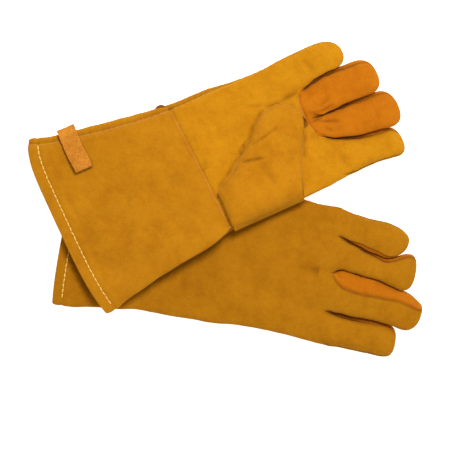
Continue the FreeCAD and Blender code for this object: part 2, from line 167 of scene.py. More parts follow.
def measured(square, half_wide, half_thick):
    """Angle to distance round a section, and distance to angle, once round being from 0 to 2 pi."""
    angle = np.linspace(-math.pi, 3 * math.pi, 8001)
    across, up = round_off(angle, square)
    run = np.cumsum(np.hypot(np.diff(across, prepend=across[0]) * half_wide,
                             np.diff(up, prepend=up[0]) * half_thick))
    run = run - np.interp(0, angle, run)
    return (lambda a: np.interp(a, angle, run)), (lambda r: np.interp(r, run, angle))


HAND_RUN, HAND_ANGLE = measured(HAND_POWER, 74, 10)
FINGER_RUN, FINGER_ANGLE = measured(FINGER_POWER, 17, FINGER_THICK)
THUMB_RUN, THUMB_ANGLE = measured(THUMB_POWER, 36, 7.5)


def between(low, high, share):
    """The value at that share of the way from low to high."""
    return low + (high - low) * share


def ring_angle(first, last, t):
    """The angle at share t of the way round the hand's section from one angle to another."""
    return HAND_ANGLE(between(HAND_RUN(first), HAND_RUN(last), t))


# ---------------------------------------------------------------- the two gloves
class Glove:
    """One glove, in curves along u: low and high are its edges across, height is that of its middle, roll
    its tilt in degrees, thick half its thickness, and seam_gap how far onto the palm's face the seam beside
    the little finger lies. Lines across it are bow, wrist_seam and base_seam. borders part its fingers, from
    the little one on, with valleys of those depths, and past parted the fingers are separate.
    """


def creased(u, v, creases):
    """Depth of folds drawn as (from u, from v, to u, to v, depth, width): a groove, a ridge beside it."""
    depth = 0.0
    for u0, v0, u1, v1, deep, wide in creases:
        share = ((u - u0) * (u1 - u0) + (v - v0) * (v1 - v0)) / ((u1 - u0) ** 2 + (v1 - v0) ** 2)
        along = np.clip(share, 0, 1)
        away = np.hypot(u - u0 - along * (u1 - u0), v - v0 - along * (v1 - v0))
        strength = deep * np.sin(np.pi * np.clip(along * 0.9 + 0.05, 0, 1)) ** 0.5
        depth = depth + strength * (hill(away, wide) - 0.3 * hill(away - 2.2 * wide, 1.2 * wide))
    return depth


right = Glove()
right.side, right.palm_up = "right", True
right.origin, right.yaw = (-156.74, -26.54), math.radians(24)
right.low = curve(
    (0, -97.5), (10, -96.5), (29, -91.4), (53, -86.7), (89, -81.5), (124, -77.2), (150, -71.5),
    (181, -70.6), (204, -70.4), (228, -71.8), (254, -70.9), (282, -69.2), (310, -69.3), (331, -72),
)
right.high = curve(
    (0, 95.4), (25, 88.8), (72, 80.6), (114, 74.3), (146, 71.2), (178, 69), (209, 65.4),
    (242, 64.7), (265, 66.6), (288, 67.6), (301, 67.7), (317, 65.5),
)
right.height = curve((-6, 31.4), (8, 31.8), (72, 37), (145, 31.5), (200, 28.6), (262, 24.2), (300, 21))
right.roll = curve((-6, -1.5), (8, -1.5), (72, -5.5), (145, -15), (200, -13.5), (262, -9), (300, -8))
right.thick = curve((-6, 8), (8, 8), (72, 8.5), (145, 9.5), (200, 11), (262, 11), (300, 11))
right.middle_line = -1.8
right.seam_gap = curve((0, 4.6), (20, 6), (47, 7), (70, 7.6), (111, 7), (130, 6), (148, 5.2), (172, 3.6),
                       (205, 0.6), (225, 0), (262, 0))
right.wrist_seam = lambda v: WRIST - WRIST_SLANT * v
right.bow = lambda n: -(9.3 + 1.7 * n) * (1 - np.abs(n) ** np.where(n > 0, 6.0, 3.5))
right.base_seam = lambda v: 3.6 * hill(v - 27.5, 6) + 4.2 * hill(v + 19, 8)
right.borders = (
    curve((230, 27), (262, 27.5), (270.4, 28.8), (283.8, 34), (301, 36.1), (317.6, 35.5), (330, 35.2),
          (341, 34)),
    curve((230, -1), (262, -1), (277, -1.2), (290, -1), (307, -0.7), (324, -1.8), (345, -3)),
    curve((230, -17), (262, -18), (268, -21), (288.5, -30), (307.7, -36.4), (326.4, -39.2), (345, -42.1)),
)
right.valleys = (3.4, 4.6, 3.2)
right.parted = 266.0
right.thumb_root = -72.4
right.creases = (
    (266, -2, 293, -15, 1.9, 2.3), (266, -9, 282, -21, 1.6, 2.2), (267, 4, 292, 9, 1.2, 2.6),
    (266, 20, 284, 22, 0.9, 2.6), (274, -1, 292, 2, 2.0, 2.4), (138, 40, 116, 30, 0.5, 6),
    (100, 10, 128, -6, 0.5, 7), (60, -40, 96, -28, 0.5, 8),
)

left = Glove()
left.side, left.palm_up = "left", False
left.origin, left.yaw = (-161.14, -20.94), math.radians(-11)
left.low = curve(
    (0, -86.6), (20, -84.6), (54, -80.5), (72, -78.5), (89, -75.8), (105, -75.3), (146, -74.1),
    (166, -73.7), (188, -71.4), (215, -70.4), (238, -71.6), (258, -72.7), (284, -74.3), (310, -75),
    (338, -75.7),
)
left.high = curve(
    (0, 85), (14, 83.6), (75, 76.5), (145, 71), (200, 66.5), (234, 66), (252, 64.5), (270, 65.3),
    (278, 63.4), (289, 61.8), (305, 60.7), (320, 60.7), (332, 58),
)
left.height = curve((0, 12.4), (14, 12.4), (75, 13.4), (145, 18.2), (200, 22.8), (262, 22), (300, 18.5))
left.roll = curve((0, 0), (14, 0), (75, -1), (145, -3), (200, -4), (262, -3), (300, -3))
left.thick = curve((0, 8), (14, 8), (75, 8.5), (145, 9.5), (200, 11), (262, 11), (300, 11))
left.middle_line = -2.5
left.seam_gap = right.seam_gap
left.wrist_seam = right.wrist_seam
left.bow = lambda n: 1.1 + 3.4 * np.abs(n) ** 3
left.base_seam = lambda v: 3.0 * hill(v - 30, 7) + 3.0 * hill(v + 30, 7)
left.borders = (
    curve((230, 37), (262, 37), (278.5, 36.1), (295, 32.6), (306, 28.6), (316, 26.5), (327, 24), (335, 26),
          (345, 31)),
    curve((230, -2), (262, -2), (276, -1), (281, 2.5), (286, 4.9), (293, 4.6), (306, 2.8), (321, 1.7),
          (337, -2.3), (350, -5.6)),
    curve((230, -40), (262, -40), (275, -40.2), (288, -39.7), (304, -40.8), (324, -40.4), (340, -41),
          (350, -42.4)),
)
left.valleys = (1.2, 1.4, 1.2)
left.parted = 273.0
left.thumb_root = -68.6
left.creases = (
    (282, -6.5, 287, -2.5, 1.4, 1.9), (278, 36, 272, 35.5, 1.0, 2.2), (286, 24, 268, 30, 0.5, 4),
    (120, -60, 96, -70, 0.5, 6), (40, -70, 64, -58, 0.5, 7), (170, -66, 196, -58, 0.5, 6),
)
GLOVES = (left, right)

# A finger: the reach of its tip, where that tip is across the glove, how long its rounding is, how square
# it is, and the finger's slope in degrees. seam_low or seam_high says, along u, at which share of the half
# width the side strip that is seen from above starts.
FINGERS = {
    ("right", "pinky"): dict(reach=325, tip=49, cap=16, square=2.3, pitch=5.5),
    ("right", "ring"): dict(reach=348.3, tip=15.5, cap=16, square=2.4, pitch=7.4),
    ("right", "middle"): dict(reach=354.5, tip=-22.5, cap=17, square=2.3, pitch=9.5),
    ("right", "index"): dict(reach=344.3, tip=-57.5, cap=14, square=2.7, pitch=12.0),
    ("left", "pinky"): dict(reach=347.4, tip=44.5, cap=15, square=2.2, pitch=7.0, seen="low",
                            seam_low=curve((262, 0.93), (276, 0.97), (284, 0.92), (305, 0.68), (318, 0.72),
                                           (327, 0.82), (340, 0.93))),
    ("left", "ring"): dict(reach=360, tip=14.5, cap=16, square=2.3, pitch=6.4),
    ("left", "middle"): dict(reach=373.6, tip=-21, cap=21, square=2.3, pitch=6.2, seen="high",
                             seam_high=curve((262, 0.93), (274, 0.96), (281, 0.55), (293, 0.34), (310, 0.33),
                                             (330, 0.42), (350, 0.62), (374, 0.62))),
    ("left", "index"): dict(reach=353, tip=-59.5, cap=14, square=2.6, pitch=8.4),
}
ORDER = ("pinky", "ring", "middle", "index")
OUTER_SIDE = {"pinky": "high", "index": "low"}    # the sides that are the glove's own edge
ZONES = ("top", "high", "below", "low")


def mouth_shift(glove, u, v):
    """How far the bowed mouth of the cuff moves a point along the glove."""
    middle = (glove.low(0) + glove.high(0)) / 2
    half = (glove.high(0) - glove.low(0)) / 2
    return glove.bow(np.clip((v - middle) / half, -1, 1)) * (1 - ease(u / 45))


def middle_height(glove, u, v):
    """Height of the middle of the glove's thickness."""
    return glove.height(u) + (v - glove.middle_line) * np.sin(np.radians(glove.roll(u)))


def relief(u, v, w, up, amount):
    """Soft dents of the leather at a point, in and out of its surface. up is 1 on top, -1 below."""
    wave = np.where(up > 0, 1.0, UNDER_WAVE) * amount
    calm = 0.45 + 0.55 * ease(u / 30)    # the hem keeps the mouth flatter
    return wave * calm * (1.15 * noise(46, 1, u, v, w) + 0.75 * noise(21, 2, u, v, w)
                          + 0.28 * noise(9, 3, u, v, w))


def seam_angle(glove, u):
    """Where the palm side and the back join beside the little finger: on the palm face, then on the edge."""
    half = (glove.high(u) - glove.low(u)) / 2
    share = np.clip(1 - glove.seam_gap(u) / half, 0, 1)
    turn = np.arccos(share ** (HAND_POWER / 2))
    return math.pi - turn if glove.palm_up else math.pi + turn


def hand_angle(glove, u, v, top):
    """The angle of the point of the hand's section above or below v."""
    half = (glove.high(u) - glove.low(u)) / 2
    share = np.clip((v - (glove.high(u) + glove.low(u)) / 2) / half, -1, 1)
    turn = np.arccos(-power(share, HAND_POWER / 2))
    return turn if top else TURN - turn


def hand_point(glove, u, angle, amount=1.0):
    """A point of the cuff's or hand's outer surface, amount 0 being without its small folds and seams."""
    u = np.asarray(u, float)
    low, high, thick = glove.low(u), glove.high(u), glove.thick(u)
    half = (high - low) / 2
    across, up = round_off(angle, HAND_POWER)
    v = (high + low) / 2 + half * across
    w = middle_height(glove, u, v) + thick * up
    out = relief(u, v, w, up, 0.4 + 0.6 * amount) * (0.45 + 0.55 * np.abs(up))
    palm_face = ease(3 * up) if glove.palm_up else ease(-3 * up)
    # the wrist's seam, with puckers on the palm's side of it
    wrist = u - glove.wrist_seam(v)
    out = out - amount * palm_face * (bump(wrist, WRIST_GROOVE) + bump(wrist, WRIST_SAG))
    pucker = np.cos(v * PUCKER_RATE + 2 * noise(12, 5, u, v, 0))
    out = out + amount * palm_face * PUCKER * hill(wrist - 4.5, 4) * pucker
    # the two long seams
    run = HAND_RUN(angle)
    long_seam = run - HAND_RUN(seam_angle(glove, u))
    out = out - amount * bump(long_seam, LONG_GROOVE)
    out = out + amount * bump(np.abs(long_seam) - RIDGE_AWAY, LONG_RIDGE)
    pucker = np.cos(u * PUCKER_RATE + 2 * noise(15, 6, u, v, 0))
    out = out + amount * PUCKER * hill(long_seam, 6) * pucker
    edge_seam = np.minimum(np.abs(run), np.abs(run - HAND_RUN(TURN)))
    out = out - amount * bump(edge_seam, EDGE_GROOVE)
    # the hem
    out = out - amount * bump(u - STITCH_LINE, STITCH_GROOVE)
    out = out + amount * HEM_RISE * ease((HEM_END - u) / HEM_FADE)
    out = out - amount * bump(u, MOUTH_GROOVE)
    # the seam of the fingers' base, and the valleys between the fingers
    base = u - KNUCKLE - glove.base_seam(v)
    first, last = glove.borders[0](KNUCKLE), glove.borders[2](KNUCKLE)
    on_seam = ease((first - v) / 3) * ease((v - last) / 3)
    out = out - amount * palm_face * on_seam * (bump(base, BASE_GROOVE) + bump(base, BASE_SAG))
    for border, deep in zip(glove.borders, glove.valleys):
        dent = deep * ease((u - VALLEY_START) / VALLEY_RUN)
        out = out - dent * hill(v - border(u), VALLEY_WIDE) * np.abs(up)
    out = out - amount * ease(3 * up) * creased(u, v, glove.creases)
    side, lift = outward(angle, HAND_POWER, half, thick)
    return np.stack([u + mouth_shift(glove, u, v), v + side * out, w + lift * out], -1)


def finger_limits(glove, finger, u):
    """The finger's two edges at u, before its tip rounds them off."""
    place = ORDER.index(finger)
    high = glove.high(u) if place == 0 else glove.borders[place - 1](u)
    low = glove.low(u) if place == 3 else glove.borders[place](u)
    return low, high


def finger_along(shape, s):
    """At s from 0 to 1 along a finger: the place along the glove, and the share of the section left there."""
    body = shape["reach"] - shape["cap"] - KNUCKLE
    cap_run = shape["cap"] * 1.25    # the surface's way round the tip
    share = body / (body + cap_run)
    turn = np.clip((s - share) / (1 - share), 0, 1) * (math.pi / 2)
    straight = KNUCKLE + body * np.minimum(s, share) / share
    u = straight + shape["cap"] * np.sin(turn) ** (2 / shape["square"])
    return u, np.maximum(np.cos(turn), 0) ** (2 / shape["square"])


def finger_point(glove, finger, s, zone, t, amount=1.0):
    """A point of a finger: s along it, t across one of its four sides, in the section's order."""
    shape = FINGERS[glove.side, finger]
    u, left_over = finger_along(shape, s)
    low, high = finger_limits(glove, finger, u)
    opened = ease((u - glove.parted + 2) / 12)
    seam_low, seam_high = (
        1 - (1 - shape.get(seam, lambda where: CORNER)(u)) * between(0.02, 1, opened)
        for seam in ("seam_low", "seam_high")
    )
    middle, half = (low + high) / 2, (high - low) / 2
    # the hand's own surface, cut by this finger's edges
    outer = OUTER_SIDE.get(finger)
    cut_low = middle - half * (OUTER_CORNER if outer == "low" else seam_low)
    cut_high = middle + half * (OUTER_CORNER if outer == "high" else seam_high)
    if zone in ("top", "below"):
        top = zone == "top"
        from_angle = hand_angle(glove, u, cut_low if top else cut_high, top)
        to_angle = hand_angle(glove, u, cut_high if top else cut_low, top)
        flat = hand_point(glove, u, ring_angle(from_angle, to_angle, t), amount)
    else:
        high_side = zone == "high"
        cut = cut_high if high_side else cut_low
        upper, under = hand_angle(glove, u, cut, True), hand_angle(glove, u, cut, False)
        if zone == outer:
            ends = (upper, under) if high_side else (under, upper + TURN)
            flat = hand_point(glove, u, ring_angle(*ends, t), amount)
        else:
            edge = high if high_side else low
            shelf, wall = np.abs(edge - cut), 2 * glove.thick(u)
            run = t * (2 * shelf + wall)
            first = np.clip(run / np.maximum(shelf, 1e-6), 0, 1)
            drop = np.clip((run - shelf) / wall, 0, 1)
            last = np.clip((run - shelf - wall) / np.maximum(shelf, 1e-6), 0, 1)
            across = between(cut, edge, first) - (edge - cut) * last
            above = hand_point(glove, u, hand_angle(glove, u, across, True), amount)
            below = hand_point(glove, u, hand_angle(glove, u, across, False), amount)
            if not high_side:
                above, below = below, above
            flat = between(above, below, drop[..., None])
    # the finger's own rounded section
    centre = between(shape["tip"], middle, left_over)
    gap = FINGER_GAP * ease((u - glove.parted - 5) / 24)
    wide = np.maximum(half - gap, 1) * left_over + 0.05
    thick = FINGER_THICK * left_over**0.85 + 0.05
    turn_low = np.arccos(np.clip(seam_low, 0, 1) ** (FINGER_POWER / 2))
    turn_high = np.arccos(np.clip(seam_high, 0, 1) ** (FINGER_POWER / 2))
    plain = math.acos(CORNER ** (FINGER_POWER / 2))
    limits = {
        "top": (turn_low, math.pi - turn_high),
        "high": (math.pi - turn_high, math.pi + plain),
        "below": (math.pi + plain, TURN - plain),
        "low": (TURN - plain, TURN + turn_low),
    }[zone]
    run = between(FINGER_RUN(limits[0]), FINGER_RUN(limits[1]), t)
    angle = FINGER_ANGLE(run)
    across, up = round_off(angle, FINGER_POWER)
    toward_edge = {"high": ease(across), "low": ease(-across)}.get(outer, 0.0)
    v = centre + wide * across + LEAN * thick * up * (1 - toward_edge)
    slope = math.sin(math.radians(shape["pitch"]))
    knuckle_middle = sum(finger_limits(glove, finger, np.array(KNUCKLE + SPREAD))) / 2
    knuckle_height = middle_height(glove, np.full_like(u, KNUCKLE), knuckle_middle)
    axis = knuckle_height + FINGER_RISE - (u - KNUCKLE) * slope
    w = axis + (v - centre) * np.sin(np.radians(glove.roll(KNUCKLE))) + thick * up
    out = relief(u, v, w, up, 0.75 * left_over**0.5) * (0.35 + 0.65 * np.abs(up))
    folds = noise((7, 26, 26), 7, u, v, w) * 0.55 + noise((4, 14, 14), 8, u, v, w) * 0.2
    out = out + amount * folds * left_over**0.5 * (0.3 + 0.7 * np.abs(up))
    end = np.minimum(run - FINGER_RUN(limits[0]), FINGER_RUN(limits[1]) - run)
    out = out - amount * bump(end, FINGER_GROOVE) * left_over**0.5
    out = out - amount * np.where(up > 0, 1, 0) * creased(u, v, glove.creases)
    if zone == outer:
        # here the side runs on into the front and the back, and their seam is in its middle
        seam = bump((t - 0.5) * 22, OUTER_GROOVE)
        out = out + amount * (bump(end, FINGER_GROOVE) - seam) * left_over**0.5
    side, lift = outward(angle, FINGER_POWER, np.maximum(wide, 1), np.maximum(thick, 1))
    own = np.stack([u, v + side * out, w + lift * out], -1)
    share = ease((u - glove.parted) / SPREAD)[..., None]
    return between(flat, own, share)


# ---------------------------------------------------------------- meshes
def to_row(glove, points):
    """Glove axes in millimetres to the row frame in metres."""
    points = np.asarray(points, float)
    cos, sin = math.cos(glove.yaw), math.sin(glove.yaw)
    u, v, w = points[..., 0], points[..., 1], points[..., 2]
    x = glove.origin[0] + cos * u - sin * v
    y = glove.origin[1] + sin * u + cos * v
    return np.stack([x, y, w], -1) / 1000


def turned(glove, directions):
    """Directions in glove axes, in the row frame."""
    cos, sin = math.cos(glove.yaw), math.sin(glove.yaw)
    u, v, w = directions[..., 0], directions[..., 1], directions[..., 2]
    return np.stack([cos * u - sin * v, sin * u + cos * v, w], -1)


def unit(vectors):
    return vectors / (np.linalg.norm(vectors, axis=-1, keepdims=True) + 1e-12)


def make(name, points, faces, normals=None):
    """A mesh object. normals holds, for each face corner, the direction to shade with."""
    mesh = bpy.data.meshes.new(name)
    mesh.from_pydata(np.asarray(points).tolist(), [], [list(face) for face in faces])
    mesh.polygons.foreach_set("use_smooth", np.full(len(mesh.polygons), True))
    if normals is not None:
        mesh.normals_split_custom_set(np.asarray(normals).tolist())
    mesh.update()
    thing = bpy.data.objects.new(name, mesh)
    bpy.context.scene.collection.objects.link(thing)
    return thing


def joined(things, name):
    """The things as one, under that name. The first one's mesh comes first."""
    bpy.ops.object.select_all(action="DESELECT")
    for thing in things:
        thing.select_set(True)
    bpy.context.view_layer.objects.active = things[0]
    if len(things) > 1:
        bpy.ops.object.join()
    things[0].name = name
    return things[0]


def set_tone(thing, values):
    """Stores each point's tone, which the leather's material reads: below 0 it darkens towards the painted
    shade's colour, above 0 it pales towards a cut edge's.
    """
    values = np.asarray(values, np.float32)
    thing.data.attributes.new("tone", "FLOAT", "POINT").data.foreach_set("value", values)


def surface(place, rows, cols, tip=False):
    """Points and outward directions of the surface place(s, t), each from 0 to 1."""
    s, t = np.meshgrid(np.linspace(0, 1, rows + 1), np.linspace(0, 1, cols + 1), indexing="ij")
    points = place(s, t)
    near = np.minimum(s, 0.985) if tip else s
    step = 2e-3
    along = place(near + step, t) - place(near - step, t)
    across = place(near, t + step) - place(near, t - step)
    normals = unit(np.cross(along, across))
    if tip:
        points[-1] = points[-1].mean(0)
        normals[-1] = unit(normals[-2].mean(0))
    return points, normals


def hollows(points, normals):
    """How deep each point of a grid lies below its surroundings, in millimetres."""
    reach = 5
    weights = np.exp(-0.5 * (np.arange(-reach, reach + 1) / 1.7) ** 2)
    weights = weights / weights.sum()
    smooth = points
    for axis in (0, 1):
        margins = [(0, 0)] * 3
        margins[axis] = (reach, reach)
        wide = np.pad(smooth, margins, mode="reflect", reflect_type="odd")
        places = np.arange(smooth.shape[axis])
        smooth = sum(weight * np.take(wide, places + start, axis) for start, weight in enumerate(weights))
    return np.maximum(-((points - smooth) * normals).sum(-1), 0)


def toned(points, normals, strip, edges):
    """Tone of each point: below 0 darker, painted shade in creases and seams; above 0 paler, at cut edges.

    strip is a tone for the whole piece, painted shade where below 0; edges those along its first, last and
    starting edges, painted shade below 0 and a paler cut edge above.
    """
    # painted shade: the deeper a point lies below its surroundings, the darker
    tone = -0.55 * hollows(points, normals) + strip
    run = np.cumsum(np.linalg.norm(np.diff(points, axis=1, prepend=points[:, :1]), axis=-1), 1)
    reached = np.linalg.norm(points - points[:1], axis=-1)
    for distance, strength in zip((run, run[:, -1:] - run, reached), edges):
        tone = tone + strength * hill(distance - 0.4, 1.5)
    return np.clip(tone, -1, 1)


# By default a skin's two long edges get painted shade (tone -0.3).
def shell(glove, name, place, rows, cols, thick=LEATHER, inset=0.0, closed=False, tip=False,
          strip=0.0, edges=(-0.3, -0.3, 0.0)):
    """A skin of even thickness, inset below the surface place(s, t). A closed one is a tube, without tones.
    Where tip is set the skin ends in a point."""
    points, normals = surface(place, rows, cols, tip)
    if closed:
        points, normals = points[:, :-1], normals[:, :-1]
    else:
        tone = toned(points, normals, strip, edges)
    kept = rows if tip else rows + 1
    count = points.shape[1]
    total = kept * count
    outer = points - normals * inset
    inner = points - normals * (inset + thick)
    vertices = np.concatenate([outer[:kept].reshape(-1, 3), inner[:kept].reshape(-1, 3)])
    index = np.arange(total).reshape(kept, count)
    beside = np.roll(index, -1, 1) if closed else index[:, 1:]
    here = index if closed else index[:, :-1]
    quads = np.stack([here[:-1], here[1:], beside[1:], beside[:-1]], -1).reshape(-1, 4)
    flat_normals = normals[:kept].reshape(-1, 3)
    faces, directions = [], []

    def add_flat(face):
        p = vertices[face]
        faces.append(face)
        directions.append(np.repeat(unit(np.cross(p[2] - p[0], p[3] - p[1]))[None], 4, 0))

    def rim(one, two):
        """Faces between two neighbours on the outer surface and the same two on the inner one."""
        for a, b in zip(one, two):
            add_flat([a, b, b + total, a + total])

    rim(beside[0], here[0])
    if not closed:
        rim(index[:-1, 0], index[1:, 0])
        rim(index[1:, -1], index[:-1, -1])
    if tip:
        vertices = np.concatenate([vertices, outer[-1:, 0], inner[-1:, 0]])
        top, below = 2 * total, 2 * total + 1
        for a, b in zip(here[-1], beside[-1]):
            faces.append([a, top, b])
            directions.append(np.stack([flat_normals[a], normals[-1, 0], flat_normals[b]]))
            faces.append([b + total, below, a + total])
            directions.append(-np.stack([flat_normals[b], normals[-1, 0], flat_normals[a]]))
        if not closed:
            add_flat([index[-1, 0], index[-1, 0] + total, below, top])
            add_flat([index[-1, -1] + total, index[-1, -1], top, below])
    else:
        rim(here[-1], beside[-1])
    # The skins come after the rims: where a renderer keeps one direction for each point, it keeps the skin's.
    faces += (quads[:, ::-1] + total).tolist() + quads.tolist()
    directions += [-flat_normals[quads[:, ::-1]].reshape(-1, 3), flat_normals[quads].reshape(-1, 3)]
    thing = make(name, to_row(glove, vertices), faces, turned(glove, np.concatenate(directions)))
    if not closed:
        outside = tone[:kept].reshape(-1)
        set_tone(thing, np.concatenate([outside, np.zeros(len(vertices) - total)]))
    return thing


def bar(points, normals, profile):
    """Corners and faces of a bar of that profile, (sideways, up) points, along a line on a surface."""
    along = unit(np.gradient(points, axis=0))
    side = unit(np.cross(along, normals))
    up = unit(np.cross(side, along))
    profile = np.asarray(profile, float)
    corners = points[:, None] + side[:, None] * profile[None, :, :1] + up[:, None] * profile[None, :, 1:]
    index = np.arange(len(points) * len(profile)).reshape(len(points), -1)
    start, follow = index[:-1], index[1:]
    quads = np.stack([start, np.roll(start, -1, 1), np.roll(follow, -1, 1), follow], -1).reshape(-1, 4)
    return corners.reshape(-1, 3), quads.tolist() + [index[0][::-1].tolist(), index[-1].tolist()]


def sweep(glove, name, points, normals, profile):
    """A bar of that profile along a line on a surface, as an object."""
    corners, faces = bar(points, normals, profile)
    return make(name, to_row(glove, corners), faces)


def steps(length, step=MESH_STEP):
    """Into how many steps of about that size a length is cut."""
    return max(4, int(round(length / step)))


# ---------------------------------------------------------------- materials
def wire(tree, made, *numbered, **named):
    """Fills a node's inputs, in order or by name with _ for a space. A socket is linked, a value set."""
    for key, value in [*enumerate(numbered), *named.items()]:
        socket = made.inputs[key.replace("_", " ") if isinstance(key, str) else key]
        if isinstance(value, bpy.types.NodeSocket):
            tree.links.new(value, socket)
        else:
            socket.default_value = value


def node(tree, kind, *numbered, result=0, settings=None, **named):
    """A new node's output of that number or name. The settings come first, because they change the inputs."""
    made = tree.nodes.new("ShaderNode" + kind)
    for key, value in (settings or {}).items():
        setattr(made, key, value)
    wire(tree, made, *numbered, **named)
    return made.outputs[result]


def calculated(tree, operation, *values, **settings):
    """The result of a calculation with numbers or sockets."""
    return node(tree, "Math", *values, settings={"operation": operation, **settings})


def mixed(tree, factor, first, second, **settings):
    """A mix of two colours."""
    return node(tree, "Mix", result="Result", settings={"data_type": "RGBA", **settings},
                Factor=factor, A=first, B=second)


def ramp(tree, value, *stops):
    """Colours by value, from (position, colour) stops."""
    colours = node(tree, "ValToRGB", value)
    elements = colours.node.color_ramp.elements
    for position, _ in stops[1:-1]:
        elements.new(position)
    for element, (position, colour) in zip(elements, stops):
        element.position = position
        element.color = (*np.clip(colour, 0, 1), 1)
    return colours


def blank(name, **inputs):
    """A new material, its nodes, and its shader with those inputs."""
    material = bpy.data.materials.new(name)
    material.use_nodes = True
    tree = material.node_tree
    shader = tree.nodes["Principled BSDF"]
    wire(tree, shader, **inputs)
    return material, tree, shader


SHADED = (0.10, 0.022, 0.002)      # painted shade: the dark colour the leather goes to where its tone is -1
CUT_EDGE = (0.66, 0.30, 0.09)      # and where it is 1


def leather(name, colour, patch=0.065, speckle=0.48, nap_depth=0.5, grain=1.0):
    """Split leather: cloudy patches of colour, a fine nap with fibres, no shine, and the points' tone:
    painted shade and paler cut edges.
    """
    material, tree, shader = blank(name, Roughness=0.92, Specular_IOR_Level=0.06, Sheen_Weight=0.2,
                                   Sheen_Roughness=0.5, Sheen_Tint=(1.0, 0.62, 0.06, 1))
    place = node(tree, "TexCoord", result="Object")
    clouds, blotch, nap = (
        node(tree, "TexNoise", Vector=place, Scale=scale, Detail=detail, Roughness=rough)
        for scale, detail, rough in ((38.0, 5.0, 0.62), (170.0, 4.0, 0.6), (1500.0 * grain, 4.0, 0.7))
    )
    pore = node(tree, "TexVoronoi", result="Distance", Vector=place, Scale=520.0 * grain)
    colour = np.array(colour)
    look = ramp(
        tree, calculated(tree, "MULTIPLY_ADD", blotch, 0.42, clouds),
        (0.45, colour * (1 - 2.2 * patch) * np.array([1, 0.92, 0.8])),
        (0.71, colour),
        (0.95, colour * (1 + 1.5 * patch) * np.array([1, 1.04, 1.25])),
    )
    look = mixed(tree, speckle, look, nap, blend_type="OVERLAY")
    tone = node(tree, "Attribute", result="Fac", settings={"attribute_name": "tone"})
    # painted shade where the tone is below 0, the paler colour of a cut edge where it is above 0
    for sign, shade in ((-1.0, SHADED), (1.0, CUT_EDGE)):
        share = calculated(tree, "MULTIPLY", tone, sign, use_clamp=True)
        look = mixed(tree, share, look, (*shade, 1))
    height = calculated(tree, "MULTIPLY_ADD", pore, 0.35, nap)
    fine = node(tree, "Bump", Strength=nap_depth, Distance=0.0006, Height=height)
    coarse = node(tree, "Bump", Strength=0.5, Distance=0.0018, Height=blotch, Normal=fine)
    wire(tree, shader, Base_Color=look, Normal=coarse)
    return material


def woven(name, colour, threads):
    """Plain weave: two crossed sets of threads."""
    material, tree, shader = blank(name, Roughness=0.95, Sheen_Weight=0.2)
    place = node(tree, "TexCoord", result="Object")
    waves = [
        node(tree, "TexWave", result="Fac", settings={"bands_direction": direction}, Vector=place,
             Scale=threads, Distortion=1.5, Detail=1.0)
        for direction in "XY"
    ]
    both = calculated(tree, "MULTIPLY", *waves)
    look = ramp(tree, both, (0.0, np.array(colour) * 0.62), (1.0, colour))
    bumpy = node(tree, "Bump", Strength=0.4, Distance=0.0005, Height=both)
    wire(tree, shader, Base_Color=look, Normal=bumpy)
    return material


def thread_material():
    """Twisted thread: slanting bands."""
    material, tree, shader = blank("seam_thread_cream", Roughness=0.7)
    place = node(tree, "TexCoord", result="Object")
    twist = node(tree, "TexWave", result="Fac", settings={"bands_direction": "DIAGONAL"}, Vector=place,
                 Scale=420.0, Distortion=2.0)
    look = ramp(tree, twist, (0.0, (0.70, 0.36, 0.04)), (1.0, (0.95, 0.62, 0.13)))
    bumpy = node(tree, "Bump", Strength=0.4, Distance=0.0003, Height=twist)
    wire(tree, shader, Base_Color=look, Normal=bumpy)
    return material


GOLD = leather("golden_split_leather", (0.46, 0.172, 0.004))
BACK = leather("golden_split_leather_back", (0.38, 0.142, 0.003))
PALM = leather("golden_split_leather_palm", (0.50, 0.195, 0.004))
DARK = leather("golden_split_leather_cuff", (0.44, 0.166, 0.004))
ORANGE = leather("orange_split_leather", (0.46, 0.13, 0.003))
ROUGH = leather("rough_split_leather", (0.55, 0.195, 0.02), patch=0.1, speckle=1.0, nap_depth=1.0, grain=0.55)
WELT = leather("welt_leather", (0.52, 0.20, 0.03), patch=0.08)
COTTON = woven("cotton_lining", (0.72, 0.66, 0.55), 1400.0)
CANVAS = woven("canvas_lining", (0.52, 0.50, 0.46), 700.0)
THREAD_LOOK = thread_material()


def finish(thing, node_name, material, follows):
    """Dresses a piece and lets it stand for its CAD node. A piece that follows one body is tied to it; one
    given two bodies keeps its points where they are.
    """
    thing.data.materials.append(material)
    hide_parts(node_name)
    if isinstance(follows, str):
        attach(thing, follows)
    else:
        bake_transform(thing)


def bending(glove, moving, still_end, moving_end):
    """The hand's body and a moving one, with the two places between which the leather would bend; they are
    only given, and finish keeps the piece's points where they are.
    """
    ends = [tuple(to_row(glove, end)) for end in (still_end, moving_end)]
    return (glove.side + "_hand", glove.side + "_" + moving, *ends)


def panel(glove, node_name, material, follows, place, rows, cols, **options):
    """A shell that stands for that CAD node."""
    piece = shell(glove, node_name + "_soft", place, rows, cols, **options)
    finish(piece, node_name, material, follows)


